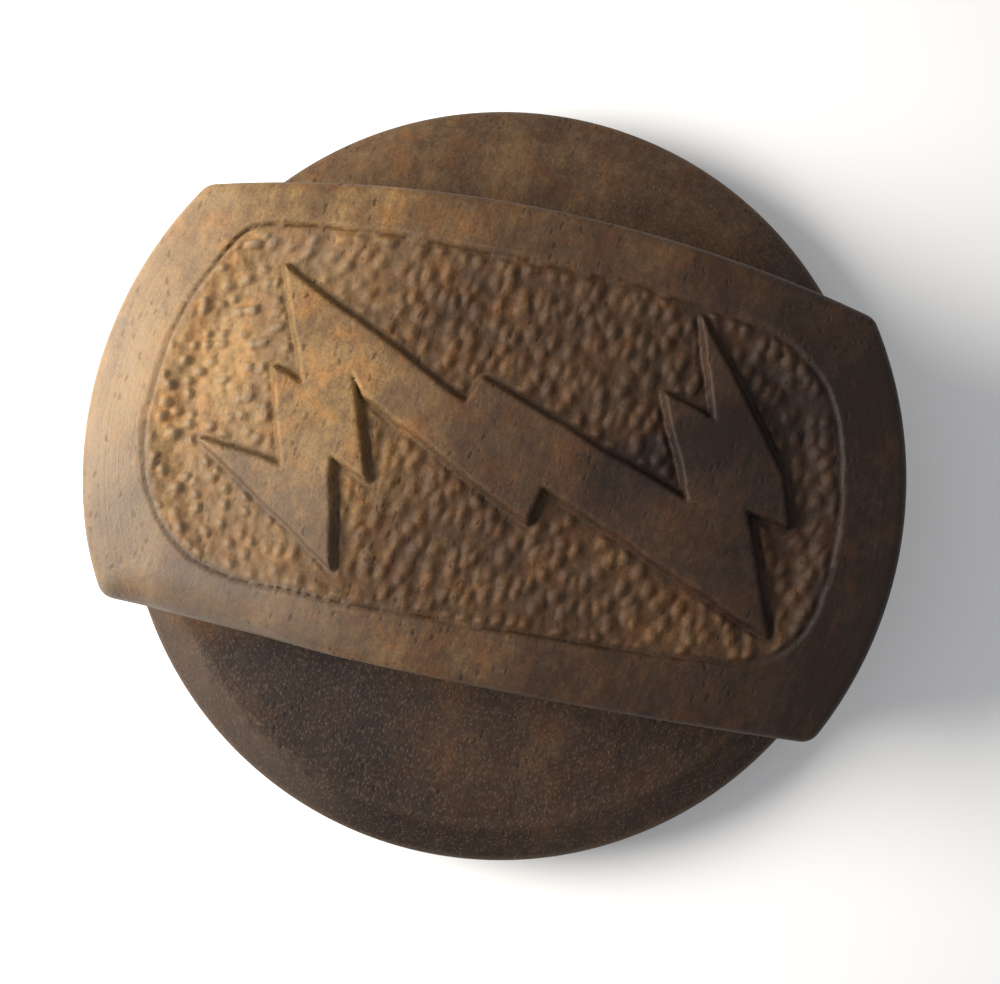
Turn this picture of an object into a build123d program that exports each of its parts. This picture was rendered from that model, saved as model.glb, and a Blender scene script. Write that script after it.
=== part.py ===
from build123d import *
import os

# Dealer button in carved walnut: a round base with a wide grip bar across it.
# Origin: middle of the underside of the felt, +Z up, +X along the bar.
# All sizes are millimetres.

# ---- Turned blank ----------------------------------------------------------
blank_radius = 25.0        # outside of the base and of the bar's two ends
base_wall = 4.5            # plain turned wall, from the underside to the bevel
foot_chamfer = 0.5         # broken edge round the underside
bevel_width = 2.5          # bevel round the shoulders, measured inwards
bevel_height = 1.5         # the same bevel, measured upwards
land_height = 0.8          # shoulders are cut this far below the glue face

# ---- Grip bar --------------------------------------------------------------
bar_end_height = 6.7       # glue face to the top edge at the bar's ends
crown_height = 2.2         # the domed top rises this much more at the middle
bar_upper_reach = 16.3     # centre to the bar's +Y side
bar_upper_bow = 3.4        # how far that side falls back at the ends
bar_upper_taper = 0.3      # and how much more it falls back towards +X
bar_lower_reach = 12.5     # centre to the bar's -Y side
bar_lower_bow = 0.7        # how far that side falls back at the ends
bar_corner_radius = 1.2    # the four upright corners
bar_edge_radius = 0.5      # worn edge round the top

# ---- Sunk panel in the bar's top -------------------------------------------
panel_depth = 0.8          # below the domed top, everywhere
end_rim = 3.85             # wood left outside the panel at both ends
upper_rim = 3.2            # wood left outside the panel on the +Y side
lower_rim = 3.3            # wood left outside the panel on the -Y side
panel_upper_bow = 2.2      # bow of the panel's +Y side
panel_lower_bow = 1.2      # bow of the panel's -Y side
panel_taper = 0.7          # each long side closes in this much towards +X
corner_upper_left = 4.0    # panel corner radii, as seen from above
corner_upper_right = 8.0
corner_lower_left = 8.0
corner_lower_right = 5.0

# ---- Relief: three plain zigzag bolts --------------------------------------
# Corners of each bolt, from one common middle. They were cut by eye, so the
# great bolt is only roughly a half turn of itself, and so are the small two.
relief_middle = (1.7, 1.8)
great_bolt = [
    (-16.2, 8.2),
    (-3.6, 2.0),
    (-3.0, 3.6),
    (10.3, -1.2),
    (7.7, 4.8),
    (11.9, 3.5),
    (16.4, -8.0),
    (1.7, -1.95),
    (1.25, -4.25),
    (-9.7, 1.3),
    (-10.65, 2.6),
    (-8.6, -3.6),
    (-12.2, -2.0),
]
left_bolt = [
    (-15.5, 1.95),
    (-11.3, 0.45),
    (-11.05, -2.1),
    (-9.65, -9.1),
    (-19.2, -3.0),
    (-13.7, -3.8),
]
right_bolt = [
    (16.3, -1.45),
    (11.3, -0.45),
    (11.3, 2.2),
    (9.15, 9.65),
    (13.65, 3.8),
    (15.5, 1.35),
]

# ---- Dowels between base and bar -------------------------------------------
dowel_radius = 1.5
dowel_spacing = 28.0       # centre to centre, along the bar
dowel_depth = 4.0          # into each of the two pieces
dowel_fit = 0.05           # radial glue gap
dowel_end_gap = 0.3        # space past each end for glue

# ---- Weight under the base -------------------------------------------------
slug_radius = 10.5
slug_thickness = 3.0
slug_fit = 0.1             # radial gap in its pocket

# ---- Felt ------------------------------------------------------------------
felt_margin = 1.5          # wood left outside the felt's recess
felt_thickness = 1.2
felt_recess = 0.7          # how far it is let into the base
felt_fit = 0.1             # radial gap in its recess

# ---- Levels ----------------------------------------------------------------
base_bottom = felt_thickness - felt_recess
bevel_bottom = base_bottom + base_wall
shoulder_top = bevel_bottom + bevel_height
glue_face = shoulder_top + land_height
bar_end_top = glue_face + bar_end_height
crown_top = bar_end_top + crown_height
felt_top = base_bottom + felt_recess

felt_seat_radius = blank_radius - felt_margin
felt_radius = felt_seat_radius - felt_fit

crown_radius = (blank_radius**2 + crown_height**2) / (2 * crown_height)
crown_middle = crown_top - crown_radius

bar_middle_y = (bar_upper_reach - bar_lower_reach) / 2


def bowed_band(upper, upper_bow, upper_taper, lower, lower_bow, lower_taper):
    """A face as long as the blank, between two bowed sides."""
    r = blank_radius
    upper_left = (-r, upper - upper_bow + upper_taper)
    upper_right = (r, upper - upper_bow - upper_taper)
    lower_left = (-r, -lower + lower_bow - lower_taper)
    lower_right = (r, -lower + lower_bow + lower_taper)
    edges = [
        ThreePointArc(upper_left, (0, upper), upper_right),
        Line(upper_right, lower_right),
        ThreePointArc(lower_right, (0, -lower), lower_left),
        Line(lower_left, upper_left),
    ]
    return make_face(edges)


def corner(face, right, upper):
    """The corner of a four-sided face on the asked side of each axis."""
    side_x = 1 if right else -1
    side_y = 1 if upper else -1
    return max(face.vertices(), key=lambda v: side_x * v.X + side_y * v.Y)


def bar_outline():
    band = bowed_band(
        bar_upper_reach, bar_upper_bow, bar_upper_taper, bar_lower_reach, bar_lower_bow, 0
    )
    face = band & Circle(blank_radius)
    return fillet(face.vertices(), bar_corner_radius)


def panel_outline():
    upper = bar_upper_reach - upper_rim
    lower = bar_lower_reach - lower_rim
    band = bowed_band(upper, panel_upper_bow, panel_taper, lower, panel_lower_bow, panel_taper)
    face = band & Circle(blank_radius - end_rim)
    for right, up, radius in (
        (False, True, corner_upper_left),
        (True, True, corner_upper_right),
        (False, False, corner_lower_left),
        (True, False, corner_lower_right),
    ):
        face = fillet(corner(face, right, up), radius)
    return face


def bolt_outlines():
    """The three bolts, as faces at the places where they stand."""
    place = Pos(relief_middle[0], relief_middle[1])
    outlines = [Polyline(*points, close=True) for points in (great_bolt, left_bolt, right_bolt)]
    return [place * make_face(outline) for outline in outlines]


def lifted(face, bottom, top):
    """A flat outline made into a prism between two levels."""
    return extrude(Pos(0, 0, bottom) * face, top - bottom)


def cylinder(radius, bottom, top, x=0.0, y=0.0):
    return Pos(x, y, (bottom + top) / 2) * Cylinder(radius, top - bottom)


def dome(drop):
    """The ball whose surface is the bar's top, or lies that far below it."""
    return Pos(0, 0, crown_middle) * Sphere(crown_radius - drop)


def dowel_places():
    return [(side * dowel_spacing / 2, bar_middle_y) for side in (-1, 1)]


def make_base():
    """The turned disc: bevelled shoulders, a land for the bar, pockets below."""
    blank = cylinder(blank_radius, base_bottom, bevel_bottom)
    foot = blank.edges().filter_by(GeomType.CIRCLE).sort_by(Axis.Z)[0]
    blank = chamfer(foot, foot_chamfer)
    bevel = Cone(blank_radius, blank_radius - bevel_width, bevel_height)
    bevel = Pos(0, 0, bevel_bottom + bevel_height / 2) * bevel
    land = lifted(bar_outline(), bevel_bottom, glue_face)
    base = blank + bevel + land

    base -= cylinder(felt_seat_radius, 0, felt_top)
    base -= cylinder(slug_radius + slug_fit, felt_top, felt_top + slug_thickness)
    for x, y in dowel_places():
        bottom = glue_face - dowel_depth - dowel_end_gap
        base -= cylinder(dowel_radius + dowel_fit, bottom, glue_face, x, y)
    return base


def make_bar():
    """The grip bar: domed, with a sunk panel round three standing bolts."""
    blank = lifted(bar_outline(), glue_face, crown_top + 1) & dome(0)
    upper_edges = blank.edges().filter_by(lambda e: e.center().Z > glue_face + bar_end_height / 2)
    top_edges = upper_edges.filter_by(lambda e: e.geom_type != GeomType.LINE)
    bar = fillet(top_edges, bar_edge_radius)

    sunk = lifted(panel_outline(), glue_face, crown_top + 1)
    for bolt in bolt_outlines():
        sunk -= lifted(bolt, glue_face - 1, crown_top + 2)
    bar -= sunk - dome(panel_depth)

    for x, y in dowel_places():
        top = glue_face + dowel_depth + dowel_end_gap
        bar -= cylinder(dowel_radius + dowel_fit, glue_face, top, x, y)
    return bar


def make_dowels():
    """Two pins that line the bar up on the base while the glue sets."""
    bottom = glue_face - dowel_depth - dowel_end_gap
    top = glue_face + dowel_depth
    return Compound([cylinder(dowel_radius, bottom, top, x, y) for x, y in dowel_places()])


def make_slug():
    return cylinder(slug_radius, felt_top, felt_top + slug_thickness)


def make_felt():
    return cylinder(felt_radius, felt_top - felt_thickness, felt_top)


parts = {
    "base_disc": make_base(),
    "grip_bar": make_bar(),
    "locating_dowels": make_dowels(),
    "weight_slug": make_slug(),
    "felt_pad": make_felt(),
}

os.makedirs("parts", exist_ok=True)
for name, shape in parts.items():
    export_step(shape, f"parts/{name}.step")
    size = shape.bounding_box().size
    print(f"{name}: {shape.volume:.1f} mm3, {size.X:.2f} x {size.Y:.2f} x {size.Z:.2f} mm")
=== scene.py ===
# %% [markdown]
# # A dealer button in carved walnut
# The button marks who deals in a card game, and it is passed round the table. It is a turned
# walnut disc with a wide grip bar glued across it. The bar's domed top has a sunk panel with a
# stippled ground, and three plain zigzag bolts stand in the panel. Underneath are a felt and,
# behind it, a steel slug for weight.
#
# The measured model comes first and is never moved. The pieces that need more than their plain
# shape are built again here, in the same place, and stand for the measured ones.

# %% Load the measured model
import math

import bmesh
import bpy
import numpy as np
from mathutils import Matrix, Vector, noise
from mathutils.geometry import tessellate_polygon


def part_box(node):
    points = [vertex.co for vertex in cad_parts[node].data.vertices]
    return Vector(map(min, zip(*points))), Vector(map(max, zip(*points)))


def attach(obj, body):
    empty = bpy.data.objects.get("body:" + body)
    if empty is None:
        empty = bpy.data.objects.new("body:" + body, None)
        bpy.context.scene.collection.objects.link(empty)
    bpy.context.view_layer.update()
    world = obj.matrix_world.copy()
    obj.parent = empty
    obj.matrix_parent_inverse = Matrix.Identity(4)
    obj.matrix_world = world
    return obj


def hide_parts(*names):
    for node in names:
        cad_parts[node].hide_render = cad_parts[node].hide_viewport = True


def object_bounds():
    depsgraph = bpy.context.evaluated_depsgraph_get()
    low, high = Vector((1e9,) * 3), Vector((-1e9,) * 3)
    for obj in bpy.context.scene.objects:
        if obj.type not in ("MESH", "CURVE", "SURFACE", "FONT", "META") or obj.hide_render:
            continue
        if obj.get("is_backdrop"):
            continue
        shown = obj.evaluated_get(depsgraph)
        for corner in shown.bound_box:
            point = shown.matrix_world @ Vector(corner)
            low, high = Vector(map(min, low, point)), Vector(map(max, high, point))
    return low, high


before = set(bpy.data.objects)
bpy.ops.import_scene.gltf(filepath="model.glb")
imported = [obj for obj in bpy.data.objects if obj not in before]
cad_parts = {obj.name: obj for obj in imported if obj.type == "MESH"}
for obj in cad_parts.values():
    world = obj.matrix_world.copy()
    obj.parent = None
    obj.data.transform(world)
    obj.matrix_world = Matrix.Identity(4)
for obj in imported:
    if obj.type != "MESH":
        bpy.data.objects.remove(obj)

cad_box = [list(corner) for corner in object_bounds()]
print("nodes:", sorted(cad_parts))
print("box in metres:", cad_box)

# %% [markdown]
# # Levels and radii
# A box of each measured node says where its piece goes. Everything below is worked out in
# millimetres, because a wood carver thinks in them, and is turned into metres when a mesh is made.

# %% Read the levels
MM = 0.001


def node_box(name):
    low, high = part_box(name)
    return [x / MM for x in low], [x / MM for x in high]


bar_low, bar_high = node_box("grip_bar")
dowels_low, dowels_high = node_box("locating_dowels")
base_bottom = node_box("base_disc")[0][2]
felt_radius, _, felt_top = node_box("felt_pad")[1]
slug_radius, _, slug_top = node_box("weight_slug")[1]
blank_radius, _, crown_top = bar_high
glue_face = bar_low[2]
print(f"blank {2 * blank_radius:.1f} mm across, glue face {glue_face:.2f}, crown {crown_top:.2f}")

# %% [markdown]
# # The outline of the bar
# Seen from above, the bar is the middle of a disc between two bowed sides, and its panel is a
# smaller shape of the same kind. All the sides are arcs of circles, so the outline is found with
# a pair of compasses: each corner is a small circle that touches two big ones. Drawing it this way
# gives clean curves at any fineness, where a shape pushed about by hand would wobble.

# %% Circles for the long sides


def circle_through(a, b, c):
    """Middle and radius of the circle through three points."""
    rows = np.array([[a[0] - b[0], a[1] - b[1]], [b[0] - c[0], b[1] - c[1]]])
    sums = np.array([np.dot(a, a) - np.dot(b, b), np.dot(b, b) - np.dot(c, c)]) / 2
    middle = np.linalg.solve(rows, sums)
    return middle, float(np.linalg.norm(middle - np.array(a)))


def side_circle(reach, bow, taper, up):
    """The circle of a long side: its reach in the middle, its bow, and its closing towards +X."""
    flip = 1 if up else -1
    r = blank_radius
    points = [(-r, reach - bow + taper), (0, reach), (r, reach - bow - taper)]
    return circle_through(*[(x, flip * y) for x, y in points])


# %% Round the corners and walk round the outline


def corner_middle(side, end_radius, corner_radius, right, up):
    """Where a small circle lies that touches a long side and the round end from inside."""
    middle, radius = side
    reach = np.linalg.norm(middle)
    near = end_radius - corner_radius
    far = radius - corner_radius
    along = (near**2 - far**2 + reach**2) / (2 * reach)
    across = math.sqrt(near**2 - along**2)
    ahead = middle / reach
    beside = np.array([-ahead[1], ahead[0]])
    found = [along * ahead + across * beside, along * ahead - across * beside]
    return max(found, key=lambda p: (p[0] if right else -p[0]) + (p[1] if up else -p[1]))


def arc(middle, start, end, spacing):
    """Points from start up to end, turning left about the middle."""
    a = math.atan2(*(start - middle)[::-1])
    turn = (math.atan2(*(end - middle)[::-1]) - a) % (2 * math.pi)
    radius = np.linalg.norm(start - middle)
    steps = max(2, math.ceil(turn * radius / spacing))
    angles = a + turn * np.arange(steps) / steps
    return middle + radius * np.stack([np.cos(angles), np.sin(angles)], axis=1)


class Outline:
    """A bowed shape with round ends, with a line of points round it, turning left.

    The corners are named by two truths: is it on the right, and is it on the upper side.
    """

    def __init__(self, upper, lower, end_radius, corner_radii, spacing):
        self.upper, self.lower, self.end_radius = upper, lower, end_radius
        self.corners = []
        runs = []
        zero = np.zeros(2)
        ends = {}
        for (right, up), radius in corner_radii.items():
            middle, side_radius = upper if up else lower
            small = corner_middle((middle, side_radius), end_radius, radius, right, up)
            on_end = small * end_radius / np.linalg.norm(small)
            away = small - middle
            on_side = middle + away * side_radius / np.linalg.norm(away)
            ends[right, up] = (small, on_end, on_side)
            self.corners.append((small, radius, on_end, on_side, up))
        for right, up in ((True, True), (False, True), (False, False), (True, False)):
            small, on_end, on_side = ends[right, up]
            if right == up:
                runs.append(arc(zero, ends[right, not up][1], on_end, spacing))
                runs.append(arc(small, on_end, on_side, spacing / 3))
            else:
                side_middle = (upper if up else lower)[0]
                runs.append(arc(side_middle, ends[not right, up][2], on_side, spacing))
                runs.append(arc(small, on_side, on_end, spacing / 3))
        self.points = np.concatenate(runs)

    def top_at(self, x):
        middle, radius = self.upper
        return middle[1] + np.sqrt(radius**2 - (x - middle[0]) ** 2)

    def bottom_at(self, x):
        middle, radius = self.lower
        return middle[1] - np.sqrt(radius**2 - (x - middle[0]) ** 2)


bar_corner = 1.2
rim_width = 3.85           # of the rim at the round ends
outline_spacing = 0.4
bar_outline = Outline(
    side_circle(reach=16.3, bow=3.4, taper=0.3, up=True),
    side_circle(reach=12.5, bow=0.7, taper=0, up=False),
    blank_radius,
    {(right, up): bar_corner for right in (True, False) for up in (True, False)},
    outline_spacing,
)
panel_outline = Outline(
    side_circle(reach=13.1, bow=2.2, taper=0.7, up=True),
    side_circle(reach=9.2, bow=1.2, taper=0.7, up=False),
    blank_radius - rim_width,
    {(False, True): 4.0, (True, True): 8.0, (False, False): 8.0, (True, False): 5.0},
    outline_spacing,
)
for name, line in (("bar", bar_outline.points), ("panel", panel_outline.points)):
    long, wide = np.ptp(line, axis=0)
    print(f"{name} outline: {len(line)} points, {long:.2f} x {wide:.2f} mm")

# %% [markdown]
# # How far from a line
# A carver works to lines: the edge of the bar, the stop cut round the panel, the outlines of the
# bolts. So the shape of the top is a rule that asks how far each point lies from each of those
# lines. One function answers that for any closed outline and also gives the nearest point on it,
# which later pulls the mesh onto the lines, so that the cut edges come out clean.

# %% Measure to an outline


def inside_distance(points, outline):
    """How far inside a closed outline each point lies, and its nearest point on the line."""
    best = np.full(len(points), np.inf)
    nearest = np.zeros_like(points)
    inside = np.zeros(len(points), bool)
    for start, end in zip(outline, np.roll(outline, -1, axis=0)):
        step = end - start
        along = np.clip((points - start) @ step / (step @ step), 0, 1)
        spot = start + along[:, None] * step
        gap = ((points - spot) ** 2).sum(axis=1)
        closer = gap < best
        best[closer] = gap[closer]
        nearest[closer] = spot[closer]
        if start[1] != end[1]:
            spans = (start[1] > points[:, 1]) != (end[1] > points[:, 1])
            crossing = start[0] + (points[:, 1] - start[1]) * step[0] / step[1]
            inside ^= spans & (points[:, 0] < crossing)
    return np.where(inside, 1.0, -1.0) * np.sqrt(best), nearest


def ease(x, low, high):
    """0 below low, 1 above high, and a smooth rise between them."""
    t = np.clip((np.asarray(x, float) - low) / (high - low), 0, 1)
    return t * t * (3 - 2 * t)


# %% [markdown]
# # The three bolts
# The bolts are plain zigzags cut from the same wood as the rim, so their tops are flush with it.
# The great bolt is roughly a half turn of itself, and the small ones of each other, but they were
# drawn and cut by eye, so every corner has its own place. Where a knife ran past a corner, it left
# a thin wedge.

# %% Corners of the bolts
relief_middle = np.array([1.7, 1.8])
great_bolt = [
    (-16.2, 8.2), (-3.6, 2.0), (-3.0, 3.6), (10.3, -1.2), (7.7, 4.8), (11.9, 3.5), (16.4, -8.0),
    (1.7, -1.95), (1.25, -4.25), (-9.7, 1.3), (-10.65, 2.6), (-8.6, -3.6), (-12.2, -2.0),
]
left_bolt = [
    (-15.5, 1.95), (-11.3, 0.45), (-11.05, -2.1), (-9.65, -9.1), (-19.2, -3.0), (-13.7, -3.8),
]
right_bolt = [
    (16.3, -1.45), (11.3, -0.45), (11.3, 2.2), (9.15, 9.65), (13.65, 3.8), (15.5, 1.35),
]
bolts = [np.array(corners) + relief_middle for corners in (great_bolt, left_bolt, right_bolt)]
print("bolt corners:", [len(bolt) for bolt in bolts])

# %% [markdown]
# # A grid that fits the bar
# The carved top is one grid of small cells, like a cloth stretched over the bar. Its rows follow
# the long sides and its columns follow the round ends. Close to the edges the rows stand as an arc
# needs them, so that the worn edge is truly round. A remeshed block would need far more faces for
# edges this clean.

# %% Where the grid's lines go
edge_radius = 0.65         # worn edge round the top
soft_radius = 2.4          # the same edge where a thumb has worn it most, on the -Y side
edge_steps = 6             # cells round that edge
edge_turns = 1 - np.cos(np.linspace(0, math.pi / 2, edge_steps + 1))


def spread(*runs):
    """Places from -1 to 1 out of runs of (end, how many cells)."""
    places = [-1.0]
    for end, cells in runs:
        places += list(np.linspace(places[-1], end, cells + 1)[1:])
    return np.array(places)


# The carved middle gets the small cells, about 0.13 mm wide, and the plain rim wider ones.
column_places = spread((-0.865, 15), (0.865, 322), (1, 15))
row_places = spread((-0.79, 14), (0.79, 168), (1, 14))


def lower_edge_radius(x):
    """The -Y edge is worn soft near the -X end and stays crisp from the middle on."""
    return edge_radius + (soft_radius - edge_radius) * (1 - ease(x, -13, -6)) * ease(x, -24, -19)


def fitted_grid():
    """Grid points over the bar's outline, as an array of columns, rows, and x and y."""
    columns = len(column_places) + 2 * edge_steps
    rows = len(row_places) + 2 * edge_steps
    y = np.zeros((columns, rows)) + np.linspace(-12, 16, rows)     # a first guess
    for _ in range(8):         # x follows from y and y from x, until both have settled
        half = np.sqrt(blank_radius**2 - y**2)
        left = edge_turns[:-1, None] * edge_radius
        inner = (half - edge_radius)[edge_steps:-edge_steps]
        body = column_places[:, None] * inner
        x = np.concatenate([left - half[:edge_steps], body, half[-edge_steps:] - left[::-1]])
        low, high = bar_outline.bottom_at(x), bar_outline.top_at(x)
        low_radius = lower_edge_radius(x)
        bottom = low[:, :edge_steps] + edge_turns[:-1] * low_radius[:, :edge_steps]
        top = high[:, -edge_steps:] - edge_turns[:-1][::-1] * edge_radius
        inner_low = (low + low_radius)[:, edge_steps:-edge_steps]
        inner_high = (high - edge_radius)[:, edge_steps:-edge_steps]
        body = inner_low + (inner_high - inner_low) * (row_places + 1) / 2
        y = np.concatenate([bottom, body, top], axis=1)
    return np.stack([x, y], axis=2)


def pull_into_corners(points, outline):
    """Slide what lies past a rounded corner back onto it, fading towards the corner's middle."""
    for middle, radius, on_end, on_side, up in outline.corners:
        side_middle, side_radius = outline.upper if up else outline.lower
        away = points - middle
        length = np.maximum(np.linalg.norm(away, axis=-1), 1e-9)
        ray = away / length[..., None]
        a, b = (on_end - middle) / radius, (on_side - middle) / radius
        turn = np.sign(a[0] * b[1] - a[1] * b[0])
        past_a = turn * (a[0] * ray[..., 1] - a[1] * ray[..., 0])
        past_b = turn * (ray[..., 0] * b[1] - ray[..., 1] * b[0])
        sector = (past_a > 0) & (past_b > 0) & (ray @ (a + b) > 0)
        reach = np.full(length.shape, np.inf)
        for centre, whole in ((np.zeros(2), outline.end_radius), (side_middle, side_radius)):
            offset = middle - centre
            dot = ray @ offset
            reach = np.minimum(reach, -dot + np.sqrt(dot**2 - offset @ offset + whole**2))
        scale = np.where(sector, radius / reach, 1.0)
        points = middle + away * scale[..., None]
    return points


grid = pull_into_corners(fitted_grid(), bar_outline)
print(f"grid: {grid.shape[0]} x {grid.shape[1]} points")

# %% [markdown]
# # Pull the grid onto the cut lines
# A knife line that runs across a grid at an angle comes out as small steps. Moving the points that
# already lie within half a cell of a line right onto it removes them. The outlines get a slight
# waver first, because they were followed by hand with a knife.

# %% Snap to the stop cut and the bolts
flat = grid.reshape(-1, 2).copy()
noise.seed_set(4)          # without it, noise_vector starts from the clock on every run


def waver(points, size, depth, seed):
    """A smooth sideways wander of the points, as a hand makes."""
    moved = points.copy()
    for i, (x, y) in enumerate(points):
        drift = noise.noise_vector(Vector((x / size, y / size, seed)))
        moved[i] += depth * np.array(drift[:2])
    return moved


def refine(outline, spacing):
    """The same outline with points no further apart than the spacing."""
    runs = []
    for start, end in zip(outline, np.roll(outline, -1, axis=0)):
        steps = max(1, math.ceil(np.linalg.norm(end - start) / spacing))
        runs.append(start + (end - start) * (np.arange(steps) / steps)[:, None])
    return np.concatenate(runs)


def snap(points, line, level, reach):
    """Move the points that nearly lie at this distance inside the line exactly there."""
    far, spot = inside_distance(points, line)
    close = (np.abs(far - level) < reach) & (np.abs(far) > 1e-6)
    outward = (points - spot) / np.where(far == 0, 1.0, far)[:, None]
    return np.where(close[:, None], spot + level * outward, points)


def knife_line(outline, spacing, wide, fine):
    """The outline with a wide and a fine waver, each given as its size, depth and seed."""
    return waver(waver(refine(outline, spacing), *wide), *fine)


knife_lines = [knife_line(panel_outline.points, 0.3, (4.0, 0.16, 3.0), (1.5, 0.08, 5.0))]
knife_lines += [knife_line(bolt, 0.5, (3.0, 0.12, 7.0), (0.9, 0.05, 9.0)) for bolt in bolts]
wall_run = 0.16            # how far the sunk wall leans
bolt_run = 0.28            # how far a bolt's sides lean
half_cell = 0.066
kept = edge_steps + 2      # rows and columns at the edges that stay where they are
free = np.zeros(grid.shape[:2], bool)
free[kept:-kept, kept:-kept] = True
free = free.reshape(-1)
for line, foot in zip(knife_lines, [wall_run] + [-bolt_run] * len(bolts)):
    for level in (0.0, foot):
        flat[free] = snap(flat[free], line, level, half_cell)
print("knife lines:", [len(line) for line in knife_lines])

# %% [markdown]
# # Heights of the carved top
# The rule for the height is a short list, in the order in which the carver works: the dome, the
# worn edge, the stop cut, the ground lowered inside it with a sloping wall, and the bolts left
# standing. Three numbers are kept for every point as attributes, because the stipple and the
# finish need them later: how open the ground is there, how worn an edge is, which the finish
# lightens as wear and as a painted highlight, and how far down in a cut the point lies, which the
# finish darkens with grime and painted shade.

# %% Work out the heights
crown_height = 2.2         # how far the dome falls from its middle to the round ends
dome_radius = (blank_radius**2 + crown_height**2) / (2 * crown_height)
dome_middle = crown_top - dome_radius
panel_depth = 0.8
shallow = 0.45             # how much less deep the ground is close to the rim
stop_cut = 0.07            # extra depth of the knife cut at the foot of a wall
torn_place, torn_width = np.array([-16.4, 11.0]), 2.4      # where the knife tore out a corner


def drop_at_edge(distance, radius):
    """How far a rounded edge falls below the flat, this far in from the side."""
    inward = np.clip(distance, 0, radius)
    return radius - np.sqrt(np.maximum(radius**2 - (radius - inward) ** 2, 0))


def groove(distance, middle, width):
    """1 at this distance from a line, falling softly to 0 on both sides."""
    return np.exp(-(((distance - middle) / width) ** 2))


def rough(points, size, seed, octaves=3):
    """Gentle unevenness from -1 to 1, the same every time."""
    return np.array([
        noise.fractal(Vector((x / size, y / size, seed)), 1.0, 2.0, octaves) for x, y in points
    ])


top_x, top_y = flat.T
rim_in, _ = inside_distance(flat, bar_outline.points)
in_panel, _ = inside_distance(flat, knife_lines[0])
in_bolt = np.max([inside_distance(flat, line)[0] for line in knife_lines[1:]], axis=0)

worn = np.where(top_y < 0, lower_edge_radius(top_x), edge_radius)
height = dome_middle + np.sqrt(dome_radius**2 - (flat**2).sum(axis=1))
height += (0.05 * rough(flat, 6.0, 1.0) - 0.03) * ease(rim_in, 0.2, 2.0)
height -= drop_at_edge(np.maximum(rim_in, 0), worn)

wall = ease(in_panel, -0.06, wall_run) * (1 - ease(in_bolt, -bolt_run, 0.08))
left_end, right_end = ease(-top_x, 13, 20), ease(top_x, 11, 18)
rise_to_rim = (shallow + 0.22 * left_end + 0.12 * right_end) * (1 - ease(in_panel, 0.3, 2.6))
sunk = (panel_depth - rise_to_rim) * wall
torn = np.exp(-((flat - torn_place) ** 2).sum(axis=1) / torn_width**2)
cut_share = 0.25 + 1.6 * torn + 0.75 * ease(top_x, -19, -14) - 0.9 * ease(top_x, 0, 12)
panel_cut = groove(in_panel, wall_run + 0.02, 0.07) * ease(-in_bolt, 0.2, 0.6)
bolt_cut = groove(-in_bolt, bolt_run + 0.06, 0.14) * ease(in_panel, 0.4, 0.8)
sunk += stop_cut * (np.maximum(cut_share, 0) * panel_cut + 0.5 * bolt_cut)
height -= sunk

off_wall = ease(in_panel, wall_run + 0.02, wall_run + 0.5)
open_ground = off_wall * ease(-in_bolt, bolt_run, bolt_run + 0.45)
# Edges that the finish lightens: wear, and a painted highlight on them as well.
edge_wear = 0.12 * groove(in_panel, -0.05, 0.15) + 0.3 * groove(in_bolt, 0.0, 0.12)
edge_wear += 0.45 * groove(rim_in, 0.25, 0.4) * (worn < edge_radius + 0.3)
# Grime and painted shade in the stop cut and round the bolts' feet, strongest towards -X.
shade_and_grime = (1 - ease(top_x, 2, 14)) * (1 + torn) * groove(in_panel, 0.7 * wall_run, 0.07 + 0.08 * torn)
shade_and_grime += 0.5 * groove(-in_bolt, bolt_run, 0.16)
hollow = np.clip(shade_and_grime, 0, 1) * ease(in_panel, -0.05, 0.2)
print(f"top runs from {height.min():.2f} to {height.max():.2f} mm")

# %% [markdown]
# # From numbers to a mesh
# A mesh is a list of points and a list of faces. The bar is closed below the grid by rings that go
# down its side, with a tiny chamfer at the glue line, and by a flat underside with the two dowel
# holes. One helper makes every piece, merges doubled points and turns the faces outwards.

# %% Helpers for meshes
merge_gap = 1e-7           # metres


def make_piece(name, points, faces, attributes=None):
    """A smooth, closed mesh object from points in millimetres."""
    mesh = bpy.data.meshes.new(name)
    mesh.from_pydata([tuple(p) for p in np.asarray(points) * MM], [], faces)
    for label, values in (attributes or {}).items():
        layer = mesh.attributes.new(label, "FLOAT", "POINT")
        layer.data.foreach_set("value", np.asarray(values, np.float32))
    made = bmesh.new()
    made.from_mesh(mesh)
    bmesh.ops.remove_doubles(made, verts=made.verts, dist=merge_gap)
    bmesh.ops.dissolve_degenerate(made, edges=made.edges, dist=merge_gap)
    bmesh.ops.recalc_face_normals(made, faces=made.faces)
    open_edges = sum(1 for e in made.edges if len(e.link_faces) != 2)
    if made.calc_volume(signed=True) < 0:
        bmesh.ops.reverse_faces(made, faces=made.faces)
    made.to_mesh(mesh)
    made.free()
    mesh.shade_smooth()
    mesh.set_sharp_from_angle(angle=math.radians(70))
    piece = bpy.data.objects.new(name, mesh)
    bpy.context.scene.collection.objects.link(piece)
    print(f"{name}: {len(mesh.polygons)} faces, {open_edges} open edges")
    return piece


def directions(count):
    """Steps of length 1 in so many directions round the middle."""
    turns = 2 * math.pi * np.arange(count) / count
    return np.stack([np.cos(turns), np.sin(turns)], axis=1)


def tube_faces(start, rings, count):
    """Four-sided faces of a tube, whose rings follow each other in the list of points."""
    return [
        (low + i, low + (i + 1) % count, low + count + (i + 1) % count, low + count + i)
        for low in range(start, start + (rings - 1) * count, count)
        for i in range(count)
    ]


def fan_faces(start, count, tip):
    """Triangles from a ring to one point in its middle."""
    return [(start + i, start + (i + 1) % count, tip) for i in range(count)]


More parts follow.
